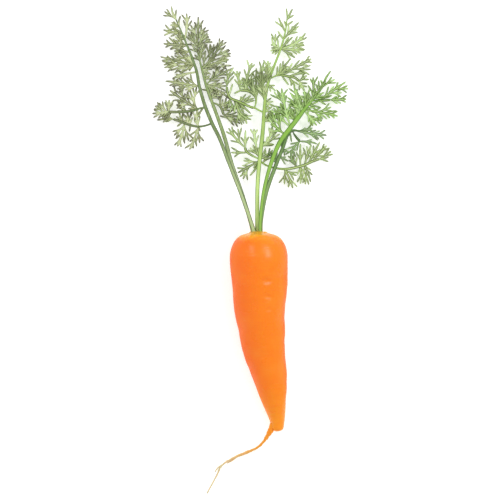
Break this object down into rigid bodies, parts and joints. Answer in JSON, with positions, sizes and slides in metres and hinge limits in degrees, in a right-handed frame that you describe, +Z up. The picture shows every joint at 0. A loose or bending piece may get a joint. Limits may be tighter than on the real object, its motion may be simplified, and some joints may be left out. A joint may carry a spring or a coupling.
{
  "type": "carrot",
  "caption": "Whole carrot lying on its side: a tapering orange taproot with a thin curving tail, and long feathery green fronds standing in its crown.",
  "frame": {"origin": "middle of the whole carrot's length and width, on the surface that it lies on", "axes": "+Y along the carrot from its tail to its leaves, +X across it, +Z up from the surface"},
  "size_m": [0.1273, 0.3162, 0.0372],
  "materials": {
    "root_skin": "smooth moist carrot skin, satin",
    "olive_leaf": "matt olive green leaf with dry brown tips",
    "grey_leaf": "matt grey green leaf with dry brown tips",
    "fresh_leaf": "matt fresh green leaf",
    "bright_leaf": "matt bright green leaf",
    "dark_leaf": "matt dark green leaf"
  },
  "bodies": {
    "root": {"root": "root_skin", "frond_left_front": "olive_leaf", "frond_left_back": "grey_leaf", "frond_middle": "fresh_leaf", "frond_right_front": "bright_leaf", "frond_right_back": "dark_leaf"}
  },
  "joints": []
}
